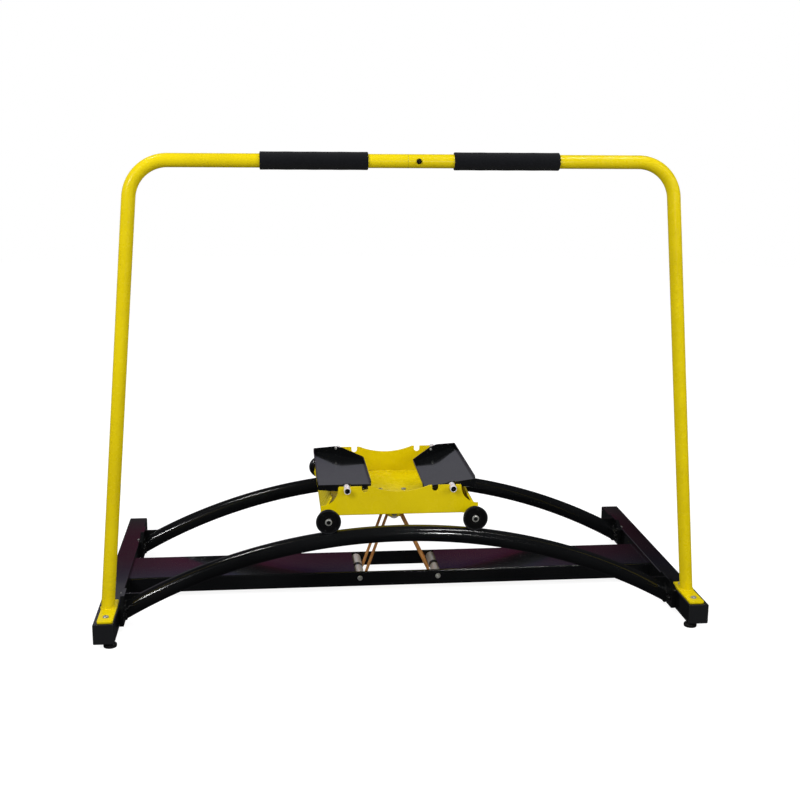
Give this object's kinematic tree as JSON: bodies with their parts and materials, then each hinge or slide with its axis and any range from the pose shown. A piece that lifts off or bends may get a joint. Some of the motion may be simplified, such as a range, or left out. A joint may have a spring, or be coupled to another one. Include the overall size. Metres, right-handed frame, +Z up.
{
  "type": "ski ergometer",
  "caption": "Ski simulator with a footplate carriage that rolls sideways on two arched rails against elastic bands, and a tall grip frame on one side.",
  "frame": {"origin": "on the floor, under the middle of the base frame", "axes": "+X along the rails, from the left crossbar to the right one; the grip frame stands on the -Y side; +Z up"},
  "size_m": [1.5, 0.824, 1.1583],
  "materials": {
    "black_enamel": "gloss",
    "yellow_enamel": "gloss",
    "black_plastic": "matte",
    "foam": "matte",
    "black_rubber": "matte",
    "polyurethane": "satin",
    "pale_nylon": "satin",
    "zinc_steel": "satin",
    "black_steel": "satin",
    "latex": "satin"
  },
  "bodies": {
    "frame": {"left_crossbar": "black_enamel", "left_handle_half": "yellow_enamel", "left_foam_grip": "foam", "left_roller_bolt": "zinc_steel", "left_roller_spacer": "black_plastic", "left_band_anchor": "black_enamel", "left_front_end_cap": "black_plastic", "left_front_plate_bolt": "zinc_steel", "left_rear_end_cap": "black_plastic", "left_rear_plate_bolt": "zinc_steel", "right_crossbar": "black_enamel", "right_handle_half": "yellow_enamel", "right_foam_grip": "foam", "right_roller_bolt": "zinc_steel", "right_roller_spacer": "black_plastic", "right_band_anchor": "black_enamel", "right_front_end_cap": "black_plastic", "right_front_plate_bolt": "zinc_steel", "right_rear_end_cap": "black_plastic", "right_rear_plate_bolt": "zinc_steel", "front_rail": "black_enamel", "front_elastic_band": "latex", "rear_rail": "black_enamel", "rear_elastic_band": "latex", "base_channel": "black_enamel", "handle_splice_sleeve": "zinc_steel", "handle_splice_bolt": "black_steel"},
    "carriage": {"carriage_tray": "yellow_enamel", "band_hanger": "yellow_enamel", "band_pulley_pin": "zinc_steel", "left_hanger_bolt": "zinc_steel", "left_footplate_rod": "zinc_steel", "left_front_pivot_sleeve": "pale_nylon", "front_left_wheel_axle": "zinc_steel", "left_rear_pivot_sleeve": "pale_nylon", "rear_left_wheel_axle": "zinc_steel", "right_hanger_bolt": "zinc_steel", "right_footplate_rod": "zinc_steel", "right_front_pivot_sleeve": "pale_nylon", "front_right_wheel_axle": "zinc_steel", "right_rear_pivot_sleeve": "pale_nylon", "rear_right_wheel_axle": "zinc_steel"},
    "left_footplate": {"left_footplate": "black_enamel"},
    "front_left_wheel": {"front_left_wheel": "polyurethane"},
    "left_front_base_roller": {"left_front_base_roller": "pale_nylon"},
    "left_front_levelling_foot": {"left_front_levelling_foot": "black_rubber"},
    "rear_left_wheel": {"rear_left_wheel": "polyurethane"},
    "left_rear_base_roller": {"left_rear_base_roller": "pale_nylon"},
    "left_rear_levelling_foot": {"left_rear_levelling_foot": "black_rubber"},
    "right_footplate": {"right_footplate": "black_enamel"},
    "front_right_wheel": {"front_right_wheel": "polyurethane"},
    "right_front_base_roller": {"right_front_base_roller": "pale_nylon"},
    "right_front_levelling_foot": {"right_front_levelling_foot": "black_rubber"},
    "rear_right_wheel": {"rear_right_wheel": "polyurethane"},
    "right_rear_base_roller": {"right_rear_base_roller": "pale_nylon"},
    "right_rear_levelling_foot": {"right_rear_levelling_foot": "black_rubber"},
    "front_band_pulley": {"front_band_pulley": "pale_nylon"},
    "rear_band_pulley": {"rear_band_pulley": "pale_nylon"}
  },
  "joints": [
    {"name": "carriage_swing", "type": "hinge", "parent": "frame", "child": "carriage", "pos_m": [0, 0, -1.1924], "axis": [0, 1, 0], "range_deg": [-18, 18], "stiffness_Nm_per_rad": 600, "deforming": ["front_elastic_band", "rear_elastic_band"]},
    {"name": "front_left_wheel_spin", "type": "hinge", "parent": "carriage", "child": "front_left_wheel", "pos_m": [-0.185, -0.2484, 0.25392], "axis": [0, 1, 0], "continuous": true},
    {"name": "front_right_wheel_spin", "type": "hinge", "parent": "carriage", "child": "front_right_wheel", "pos_m": [0.185, -0.2484, 0.25392], "axis": [0, 1, 0], "continuous": true},
    {"name": "rear_left_wheel_spin", "type": "hinge", "parent": "carriage", "child": "rear_left_wheel", "pos_m": [-0.185, 0.2484, 0.25392], "axis": [0, 1, 0], "continuous": true},
    {"name": "rear_right_wheel_spin", "type": "hinge", "parent": "carriage", "child": "rear_right_wheel", "pos_m": [0.185, 0.2484, 0.25392], "axis": [0, 1, 0], "continuous": true},
    {"name": "left_footplate_tilt", "type": "hinge", "parent": "carriage", "child": "left_footplate", "pos_m": [-0.135, 0, 0.319], "axis": [0, 1, 0], "range_deg": [-12, 12]},
    {"name": "right_footplate_tilt", "type": "hinge", "parent": "carriage", "child": "right_footplate", "pos_m": [0.135, 0, 0.319], "axis": [0, 1, 0], "range_deg": [-4.1, 19.9]},
    {"name": "front_band_pulley_spin", "type": "hinge", "parent": "carriage", "child": "front_band_pulley", "pos_m": [0, -0.04, 0.207], "axis": [0, 1, 0], "continuous": true},
    {"name": "rear_band_pulley_spin", "type": "hinge", "parent": "carriage", "child": "rear_band_pulley", "pos_m": [0, 0.04, 0.207], "axis": [0, 1, 0], "continuous": true},
    {"name": "left_front_base_roller_spin", "type": "hinge", "parent": "frame", "child": "left_front_base_roller", "pos_m": [-0.0935, -0.04325, 0.0377], "axis": [0, 1, 0], "continuous": true},
    {"name": "left_rear_base_roller_spin", "type": "hinge", "parent": "frame", "child": "left_rear_base_roller", "pos_m": [-0.0935, 0.04325, 0.0377], "axis": [0, 1, 0], "continuous": true},
    {"name": "right_front_base_roller_spin", "type": "hinge", "parent": "frame", "child": "right_front_base_roller", "pos_m": [0.1165, -0.04325, 0.0377], "axis": [0, 1, 0], "continuous": true},
    {"name": "right_rear_base_roller_spin", "type": "hinge", "parent": "frame", "child": "right_rear_base_roller", "pos_m": [0.1165, 0.04325, 0.0377], "axis": [0, 1, 0], "continuous": true},
    {"name": "left_front_levelling_foot_turn", "type": "hinge", "parent": "frame", "child": "left_front_levelling_foot", "pos_m": [-0.713, -0.389, 0], "axis": [0, 0, 1], "continuous": true},
    {"name": "left_rear_levelling_foot_turn", "type": "hinge", "parent": "frame", "child": "left_rear_levelling_foot", "pos_m": [-0.713, 0.389, 0], "axis": [0, 0, 1], "continuous": true},
    {"name": "right_front_levelling_foot_turn", "type": "hinge", "parent": "frame", "child": "right_front_levelling_foot", "pos_m": [0.713, -0.389, 0], "axis": [0, 0, 1], "continuous": true},
    {"name": "right_rear_levelling_foot_turn", "type": "hinge", "parent": "frame", "child": "right_rear_levelling_foot", "pos_m": [0.713, 0.389, 0], "axis": [0, 0, 1], "continuous": true}
  ],
  "couplings": [
    {"joint": "front_left_wheel_spin", "follows": "carriage_swing", "ratio": 51.064},
    {"joint": "front_right_wheel_spin", "follows": "carriage_swing", "ratio": 51.064},
    {"joint": "rear_left_wheel_spin", "follows": "carriage_swing", "ratio": 51.064},
    {"joint": "rear_right_wheel_spin", "follows": "carriage_swing", "ratio": 51.064}
  ]
}
